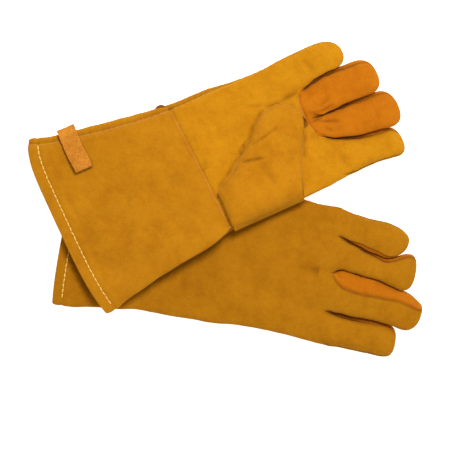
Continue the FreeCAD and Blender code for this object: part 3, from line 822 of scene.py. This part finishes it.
# ---------------------------------------------------------------- cuff and hand
def hand_pieces(glove):
    """The cuff's and the palm's panels, the back, the two linings and the hem."""
    side, hand = glove.side, glove.side + "_hand"
    colour = {"right": (DARK, PALM, DARK), "left": (BACK, BACK, BACK)}[side]

    def arc(u, t, palm):
        """The angle at share t of the palm side's or the back's part of the section."""
        seam = seam_angle(glove, u)
        return ring_angle(0.0, seam, t) if palm == glove.palm_up else ring_angle(seam, TURN, t)

    def palm_side(rough_start, start, rough_end, end):
        """The palm side between two lines across the glove, which lie at about the rough places."""
        def place(s, t):
            guess = between(rough_start, rough_end, s)
            across = round_off(arc(guess, t, True), HAND_POWER)[0]
            v = between(glove.low(guess), glove.high(guess), (across + 1) / 2)
            u = between(start(v), end(v), s)
            return hand_point(glove, u, arc(u, t, True))
        return place

    wrist, half_gap = glove.wrist_seam, 0.15
    cols = steps(150)
    # edge tones: painted shade along one long edge, a paler cut edge along the other
    place = palm_side(0, lambda v: 0 * v, 145, lambda v: wrist(v) - half_gap)
    panel(glove, side + "_cuff_palm_panel", colour[0], hand, place, steps(150), cols, edges=(-0.3, 0.35, 0.0))
    place = palm_side(145, lambda v: wrist(v) + half_gap, KNUCKLE, lambda v: KNUCKLE + glove.base_seam(v))
    panel(glove, side + "_palm_panel", colour[1], hand, place, steps(120), cols, edges=(-0.3, 0.3, -0.1))

    def back_place(s, t):
        u = KNUCKLE * s
        return hand_point(glove, u, arc(u, t, False))

    panel(glove, side + "_back_panel", colour[2], hand, back_place, steps(KNUCKLE), steps(170))

    def whole(start, end):
        def place(s, t):
            return hand_point(glove, between(start, end, s), ring_angle(0.0, TURN, t), 0.0)
        return place

    linings = (("_cuff_lining", CANVAS, HEM_DEPTH, 139), ("_hand_lining", COTTON, 150, KNUCKLE))
    for name, look, start, end in linings:
        panel(glove, side + name, look, hand, whole(start, end), steps(end - start, 4), steps(320, 4),
              thick=CLOTH, inset=LINING_DEEP, closed=True)

    # The hem: the leather's rounded fold at the mouth, and the strip that is turned in.
    count = steps(340, 2.6)
    angle = ring_angle(0.0, TURN, np.arange(count) / count)
    # each row: its place along the glove, and its depth below the outer surface
    rows = ((HEM_DEPTH, 1.75), (7, 1.75), (0.1, 1.7), (0.0, 0.05), (-0.9, 0.2), (-1.5, 0.8), (-1.7, 1.6),
            (-1.5, 2.4), (-0.8, 3.0), (0.2, 3.2), (7, 3.2), (HEM_DEPTH, 3.2))
    grid = []
    for u, depth in rows:
        u_here = np.full(count, float(max(u, 0)))
        here = hand_point(glove, u_here, angle)
        along = unit(hand_point(glove, u_here + 0.5, angle) - here)
        around = unit(np.roll(here, -1, 0) - np.roll(here, 1, 0))
        out = unit(np.cross(along, around))
        grid.append(here - out * depth + along * min(u, 0))
    index = np.arange(len(rows) * count).reshape(len(rows), count)
    beside, after = np.roll(index, -1, 1), np.roll(index, -1, 0)
    faces = np.stack([index, after, np.roll(after, -1, 1), beside], -1).reshape(-1, 4)[:, ::-1]
    hem = make(side + "_cuff_hem_soft", to_row(glove, np.concatenate(grid)), faces.tolist())
    finish(hem, side + "_cuff_hem", colour[0], hand)


def on_hand(glove, u, angle):
    """A point of the hand's surface and the direction out of it."""
    here = hand_point(glove, u, angle)
    along = hand_point(glove, u + 0.4, angle) - hand_point(glove, u - 0.4, angle)
    around = hand_point(glove, u, angle + 2e-3) - hand_point(glove, u, angle - 2e-3)
    return here, unit(np.cross(along, around))


ROUND = np.array([(math.cos(a), math.sin(a)) for a in np.linspace(0, TURN, 9)[:-1]])
WELT_PROFILE = ((-0.55, -1.5), (-0.55, 0.2), (-0.3, 0.5), (0.3, 0.5), (0.55, 0.2), (0.55, -1.5))[::-1]
STITCH_ARC = np.array([-0.55, 0.15, 0.45, 0.5, 0.45, 0.15, -0.55])    # its height along it


def hem_stitches(glove):
    """Stitches along the hem on both faces, each a short arc of thread that dips into the leather."""
    vertices, faces = [], []
    low, high = glove.low(STITCH_LINE), glove.high(STITCH_LINE)
    count = int((high - low - 12) / STITCH_PITCH)
    start = low + ((high - low) - count * STITCH_PITCH) / 2
    for top in (True, False):
        for number in range(count):
            middle = start + (number + 0.5) * STITCH_PITCH
            slant = 0.25 * math.sin(number * 2.4)
            v = middle + np.linspace(-0.5, 0.5, len(STITCH_ARC)) * STITCH_LONG
            u = STITCH_LINE + slant * np.linspace(-1, 1, len(STITCH_ARC))
            here, out = on_hand(glove, u, hand_angle(glove, u, v, top))
            corners, quads = bar(here + out * STITCH_ARC[:, None], out, ROUND * THREAD)
            faces.extend([[corner + len(vertices) for corner in quad] for quad in quads])
            vertices.extend(corners.tolist())
    stitches = make(glove.side + "_hem_stitching_soft", to_row(glove, vertices), faces)
    finish(stitches, glove.side + "_hem_stitching", THREAD_LOOK, glove.side + "_hand")


def welts(glove):
    """The welts of the wrist's seam and of the seam at the fingers' base."""
    side, hand = glove.side, glove.side + "_hand"
    seam = seam_angle(glove, np.array([141.0]))[0]
    angle = ring_angle(0.05 if glove.palm_up else TURN - 0.05, seam, np.linspace(0, 1, 90))
    across = round_off(angle, HAND_POWER)[0]
    u = np.full(90, 144.0)    # a first guess
    for _ in range(3):
        v = between(glove.low(u), glove.high(u), (across + 1) / 2)
        u = glove.wrist_seam(v)
    welt = sweep(glove, side + "_wrist_welt_soft", *on_hand(glove, u, angle), WELT_PROFILE)
    if glove.palm_up:
        # the welt's end is turned aside at the little finger's edge and stands out a little
        u = np.linspace(137, 128.5, 9)
        here, out = on_hand(glove, u, np.full(9, math.pi - 0.02))
        swell = np.sin(np.linspace(0.15, math.pi - 0.15, 9))
        end = sweep(glove, "welt_end", here + out * (2.3 * swell - 1.2)[:, None], out, ROUND * 2.0)
        set_tone(end, np.full(len(end.data.vertices), -0.75))
        welt = joined([welt, end], welt.name)
    finish(welt, side + "_wrist_welt", WELT, hand)
    low, high = glove.borders[2](KNUCKLE), glove.borders[0](KNUCKLE)
    v = np.linspace(low + 2.5, high - 2, 40)
    u = KNUCKLE + glove.base_seam(v)
    line = on_hand(glove, u, hand_angle(glove, u, v, glove.palm_up))
    welt = sweep(glove, side + "_finger_base_welt_soft", *line, WELT_PROFILE)
    finish(welt, side + "_finger_base_welt", WELT, hand)


# ---------------------------------------------------------------- fingers
def finger_pieces(glove, finger):
    """A finger's front, back, side strips and lining."""
    side = glove.side
    shape = FINGERS[side, finger]
    label = "%s_%s_" % (side, finger)
    rows = steps(shape["reach"] - KNUCKLE + 6)
    follows = bending(glove, finger, (KNUCKLE - 1, shape["tip"], 24), (KNUCKLE + 24, shape["tip"], 24))
    outer = OUTER_SIDE.get(finger)

    def shifted(zone):
        """The fronts start at the curved seam, the backs at the knuckle line, the strips between."""
        def place(s, t):
            if zone in ("top", "below"):
                front = 1.0 if (zone == "top") == glove.palm_up else 0.0
            else:
                front = 1 - t if (zone == "high") == glove.palm_up else t
            run = shape["reach"] - KNUCKLE + 0.25 * shape["cap"]
            first_row = t[:1]
            front = np.broadcast_to(front, t.shape)[:1]
            start = 0 * first_row
            for _ in range(3):
                v = finger_point(glove, finger, start, zone, first_row)[..., 1]
                start = front * glove.base_seam(v) / run
            return finger_point(glove, finger, s + start * (1 - ease(s / 0.25)), zone, t)
        return place

    def zones(*parts):
        """One surface from (zone, from t, to t, share) parts side by side."""
        shares = np.cumsum([0] + [part[3] for part in parts])
        shares = shares / shares[-1]

        def place(s, t):
            result = None
            for number, (zone, start, end, _) in enumerate(parts):
                inside = (t - shares[number]) / (shares[number + 1] - shares[number])
                points = shifted(zone)(s, between(start, end, inside))
                if result is None:
                    result = points
                else:
                    result = np.where((t >= shares[number])[..., None], points, result)
            return result
        return place

    edge, wide = 8.0, 34.0
    if outer == "high":
        top = zones(("top", 0, 1, wide), ("high", 0, 0.5, edge))
        below = zones(("high", 0.5, 1, edge), ("below", 0, 1, wide))
    elif outer == "low":
        top = zones(("low", 0.5, 1, edge), ("top", 0, 1, wide))
        below = zones(("below", 0, 1, wide), ("low", 0, 0.5, edge))
    else:
        top, below = shifted("top"), shifted("below")
    front, back = (top, below) if glove.palm_up else (below, top)
    own, palm = (DARK, PALM) if side == "right" else (BACK, BACK)
    along = np.linspace(0, 1, rows + 1)[:, None]
    parting = ease((finger_along(shape, along)[0] - glove.parted - 1) / 6)
    # painted shade along the pieces' long edges where the fingers part
    seams = (-0.5 * parting, -0.5 * parting, 0.0)
    front_look = ORANGE if finger in ("ring", "middle") else palm
    for name, look, place in (("front", front_look, front), ("back", own, back)):
        panel(glove, label + name, look, follows, place, rows, steps(wide + edge, 1.7), tip=True, edges=seams)
    # painted shade: a strip is darkened where it lies out of sight between two fingers
    between_fingers_shade = -0.6 * parting * (1 - ease((along - 0.4) / 0.35))
    strips = [
        shell(glove, label + "strip", shifted(zone), rows, steps(18, 1.7), tip=True,
              strip=0.0 if zone == shape.get("seen") else between_fingers_shade, edges=seams)
        for zone in ("high", "low") if zone != outer
    ]
    finish(joined(strips, label + "fourchettes_soft"), label + "fourchettes", ORANGE, follows)

    def inner(s, t):
        """All four sides as one tube."""
        quarter = np.mod(t, 1.0) * 4
        result = np.zeros(s.shape + (3,))
        for number, zone in enumerate(ZONES):
            inside = np.floor(quarter).astype(int) == number
            points = finger_point(glove, finger, s * 0.985, zone, np.clip(quarter - number, 0, 1), 0.0)
            result = np.where(inside[..., None], points, result)
        return result

    panel(glove, label + "lining", COTTON, follows, inner, steps(shape["reach"] - KNUCKLE, 4), 28,
          thick=CLOTH, inset=LINING_DEEP, closed=True)


# ---------------------------------------------------------------- thumb
# Its two edges, as u and v from its root to its tip
THUMB_NEAR = (
    curve((0, 150), (0.20, 149.4), (0.37, 149.2), (0.46, 156.6), (0.56, 170), (0.67, 186), (0.78, 199),
          (0.86, 208), (0.92, 215), (0.96, 222.5), (0.985, 231), (1, 240)),
    curve((0, ROOT), (0.20, -53), (0.37, -33.5), (0.46, -27.4), (0.56, -19.5), (0.67, -8), (0.78, 1.2),
          (0.86, 10.5), (0.92, 17.3), (0.96, 22.8), (0.985, 25.5), (1, 26.2)),
)
THUMB_FAR = (
    curve((0, 229), (0.20, 235.5), (0.37, 242), (0.56, 248.5), (0.70, 254.5), (0.78, 257.3), (0.86, 259),
          (0.92, 258.3), (0.96, 254.8), (0.985, 248.5), (1, 240)),
    curve((0, ROOT), (0.20, -53), (0.37, -37), (0.56, -23), (0.70, -9), (0.78, -3), (0.86, 4), (0.92, 10.5),
          (0.96, 17.3), (0.985, 23.2), (1, 26.2)),
)
THUMB_CREASES = (
    (182, -12.9, 206, -17.8, 1.5, 1.7), (202, -2, 230, 4, 1.5, 1.7), (156, -28, 170, -36, 0.6, 3),
    (214, -52, 206, -34, 0.5, 4.5),
)
THUMB_BODY = 0.82    # from here on its tip is rounded
# By the distance from its root: how high above the hand's middle the folded thumb's underside lies, and how
# far the left thumb has come down from its root to what it lies on, from 0 to 1
THUMB_RISE = curve((0, 0.5), (2, 6.0), (6, 10.4), (14, 12.4), (200, 12.6))
THUMB_DOWN = curve((0, 0), (2, 0.35), (7, 0.82), (14, 1), (200, 1))
LEFT_THUMB_LOW, LEFT_THUMB_HIGH = 0.25, 8.4
# the palm is pressed in a little along the thumb that lies on it
for edge_line, aside in ((THUMB_NEAR, (-1.4, 1.4)), (THUMB_FAR, (1.6, 0.6))):
    for start in np.arange(0.40, 0.98, 0.08):
        ends = [float(axis(share)) + shift
                for share in (start, start + 0.09) for axis, shift in zip(edge_line, aside)]
        right.creases += ((*ends, 0.8, 2.2),)


def thumb_point(glove, s, angle, amount=1.0):
    """A point of the thumb: s from its root at the hand's edge to its tip."""
    s = 1 - np.maximum(1 - s, 0) ** 1.6
    near = np.stack([THUMB_NEAR[0](s), THUMB_NEAR[1](s)], -1)
    far = np.stack([THUMB_FAR[0](s), THUMB_FAR[1](s)], -1)
    rounding = np.clip((s - THUMB_BODY) / (1 - THUMB_BODY), 0, 1)
    left_over = np.sqrt(np.maximum(1 - rounding**2, 0))
    across, up = round_off(angle, THUMB_POWER)
    half = (near - far) / 2
    flat = (near + far) / 2 - half * across[..., None]
    moved = (glove.thumb_root - ROOT) * (1 - ease(s / 0.3))
    u, v = flat[..., 0], flat[..., 1] + moved
    flat = np.stack([u, v], -1)
    from_edge = v - glove.thumb_root
    plane = middle_height(glove, u, v)
    if glove.palm_up:
        by_wrist = (1 - ease((u - 150) / 30)) * ease(from_edge / 14)
        lower = THUMB_RISE(from_edge) - 1.7 * by_wrist
        upper = 2.6 + 25 * np.sqrt(1 - np.clip(1 - from_edge / 24, 0, 1) ** 2)
        rest = lower + 3.2 - 1.8 * by_wrist
        upper = np.maximum(upper, rest + 0.2)
    else:
        down = THUMB_DOWN(from_edge)
        lower = between(plane - 3.0, LEFT_THUMB_LOW, down) - plane
        upper = between(plane - 0.6, LEFT_THUMB_HIGH, down) - plane
        rest = (lower + upper) / 2
    height = np.where(up > 0, (upper - rest) * up, (rest - lower) * up) * left_over
    w = plane + rest + height
    out = relief(u, v, w + 40, up, 1.0 if glove.palm_up else 0.2) * left_over**0.5
    seam = np.min([np.abs(THUMB_RUN(angle) - THUMB_RUN(edge)) for edge in (0, math.pi, TURN)], axis=0)
    out = out - amount * bump(seam, EDGE_GROOVE) * left_over**0.5
    if glove.palm_up:
        fade = ease(up * 4)
        out = out - amount * fade * creased(u, v, THUMB_CREASES)
        out = out + amount * fade * 0.5 * noise((9, 22, 22), 12, u, v, w)
    side, lift = outward(angle, THUMB_POWER, 30 * left_over + 4, 7.5)
    flat = flat - unit(half) * (side * out)[..., None]
    return np.stack([flat[..., 0], flat[..., 1], w + lift * out], -1)


def thumb_pieces(glove):
    """A thumb's back, front, lining and the welt between its two halves."""
    label = glove.side + "_thumb_"
    rows, cols = 80, steps(70)
    follows = bending(glove, "thumb", (190, -74, 50), (190, -52, 50))

    def half_place(first, second):
        def place(s, t):
            return thumb_point(glove, s, THUMB_ANGLE(between(THUMB_RUN(first), THUMB_RUN(second), t)))
        return place

    # each half is drawn across in the direction that makes it face outwards
    above, below = half_place(math.pi, 0.0), half_place(TURN, math.pi)
    back, front = (above, below) if glove.palm_up else (below, above)
    back_look, front_look = (GOLD, DARK) if glove.palm_up else (BACK, BACK)
    # painted shade along the back's two edges, to show the thumb's outline
    panel(glove, label + "back", back_look, follows, back, rows, cols, tip=True, edges=(-0.35, -0.35, 0.0))
    panel(glove, label + "front", front_look, follows, front, rows, cols, tip=True)

    def whole(s, t):
        return thumb_point(glove, 0.14 + s * 0.83, THUMB_ANGLE(THUMB_RUN(TURN) * (1 - t)), 0.0)

    panel(glove, label + "lining", COTTON, follows, whole, steps(110, 4), 40,
          thick=CLOTH * 0.7, inset=3.0 if glove.palm_up else 1.9, closed=True)
    # the welt: up along one edge, round the tip and back along the other
    count = 80
    up_it = np.linspace(0.03, 0.995, count)
    s = np.concatenate([up_it, up_it[::-1]])
    here = thumb_point(glove, s, np.repeat([0.0, math.pi], count))
    inside = np.clip(s, 0, 0.7)
    above = thumb_point(glove, inside, np.full(2 * count, 0.25 * TURN))
    below = thumb_point(glove, inside, np.full(2 * count, 0.75 * TURN))
    out = unit((here - (above * 0.5 + below * 0.5)) * np.array([1, 1, 0]))
    welt = sweep(glove, label + "welt_soft", here - out * 0.2, out, WELT_PROFILE)
    finish(welt, label + "welt", WELT, follows)


# ---------------------------------------------------------------- hanging loop
LOOP_PLACE, LOOP_WIDE = 36.4, 18.4
LOOP_FOLD = 4.0      # length of strap in the fold


def hanging_loop(glove):
    """A strap folded in two, sewn into the seam beside the little finger. The left one is pressed flat."""
    if glove.palm_up:
        sign, sewn, free, rise, pressed, thick = 1.0, 91.4, 47.0, 3.2, 1.0, 1.4
    else:
        sign, sewn, free, rise, pressed, thick = -1.0, 86.0, 42.0, 0.0, 0.7, 1.2
    length = sewn - free

    def place(s, t):
        u = LOOP_PLACE + (t - 0.5) * -LOOP_WIDE * sign + (1 - np.abs(2 * s - 1)) * 1.6
        run = s * (2 * length + LOOP_FOLD)
        lower = np.clip(run / length, 0, 1)
        fold = np.clip((run - length) / LOOP_FOLD, 0, 1) * math.pi
        upper = np.clip((run - length - LOOP_FOLD) / length, 0, 1)
        v = sewn - length * lower + length * upper - 1.6 * np.sin(fold)
        level = 1.5 + 0.95 * (1 - np.cos(fold))
        lift = rise * ease((sewn - 12 - v) / (length - 8)) ** 1.3
        angle = hand_angle(glove, u, np.minimum(v, glove.high(u) - 7), glove.palm_up)
        cuff = hand_point(glove, u, angle, 0.0)[..., 2]
        drop = ease((v - (glove.high(u) - 5)) / 9) * 4.5
        rough = 0.35 * noise(7, 21, u, v, level * 3) + 0.2 * noise(3.2, 22, u, v, level * 5)
        w = cuff + sign * (pressed * (level + rough + 0.3) + lift - drop)
        return np.stack([u + 0.5 * noise(9, 23, 0 * u, v, t * 9), v, w], -1)

    follows = "left_hand"
    if glove.side == "right":
        # the sewn end's place on the cuff and a place on the loop, given with the hand's body and the loop's
        follows = bending(glove, "loop", (LOOP_PLACE, 86, 40), (LOOP_PLACE, 78, 40))
    # place is the strap's inner side, so its thickness goes outwards
    panel(glove, glove.side + "_hanging_loop", ROUGH, follows, place, steps(92, 1.4), steps(LOOP_WIDE, 1.3),
          thick=-thick)


for each_glove in GLOVES:
    hand_pieces(each_glove)
    hem_stitches(each_glove)
    welts(each_glove)
    for each_finger in ORDER:
        finger_pieces(each_glove, each_finger)
    thumb_pieces(each_glove)
    hanging_loop(each_glove)


# ---------------------------------------------------------------- floor, light and camera
def area_light(name, place, size, watts):
    """A white round lamp, turned to the middle of the floor."""
    data = bpy.data.lights.new(name, "AREA")
    data.shape, data.size, data.energy = "DISK", size, watts
    lamp = bpy.data.objects.new(name, data)
    lamp.location = place
    lamp.rotation_euler = (-Vector(place)).to_track_quat("-Z", "Y").to_euler()
    bpy.context.scene.collection.objects.link(lamp)


WHITE = (1, 1, 1, 1)
PAPER_WHITE = (0.92, 0.92, 0.92, 1)
FLOOR_LEVEL = -0.0004
area_light("key", place=(0.3, 0.68, 1.95), size=0.7, watts=41)
area_light("fill", place=(0.5, -1.2, 1.8), size=1.6, watts=3)
world = bpy.data.worlds.new("studio")
bpy.context.scene.world = world
world.use_nodes = True
wire(world.node_tree, world.node_tree.nodes["Background"], Color=WHITE, Strength=0.42)

bpy.ops.mesh.primitive_plane_add(size=6, location=(0, 0, FLOOR_LEVEL))
floor = bpy.context.active_object
floor.name = "floor"
paper = blank("floor_paper", Base_Color=PAPER_WHITE, Roughness=1.0, Specular_IOR_Level=0.0,
              Emission_Color=WHITE, Emission_Strength=0.82)[0]
floor.data.materials.append(paper)

CAMERA_HEIGHT = 3.0        # above the level at which the picture is PICTURE_WIDTH wide
PICTURE_WIDTH = 0.4545
OBJECT_LEVEL = 0.03
SENSOR = 36.0
lens = bpy.data.cameras.new("camera")
lens.sensor_width = SENSOR
lens.lens = SENSOR * CAMERA_HEIGHT / PICTURE_WIDTH
camera = bpy.data.objects.new("camera", lens)
camera.location = (0.0010, -0.0263, CAMERA_HEIGHT + OBJECT_LEVEL)
bpy.context.scene.collection.objects.link(camera)
bpy.context.scene.camera = camera
bpy.context.scene.view_settings.view_transform = "Standard"
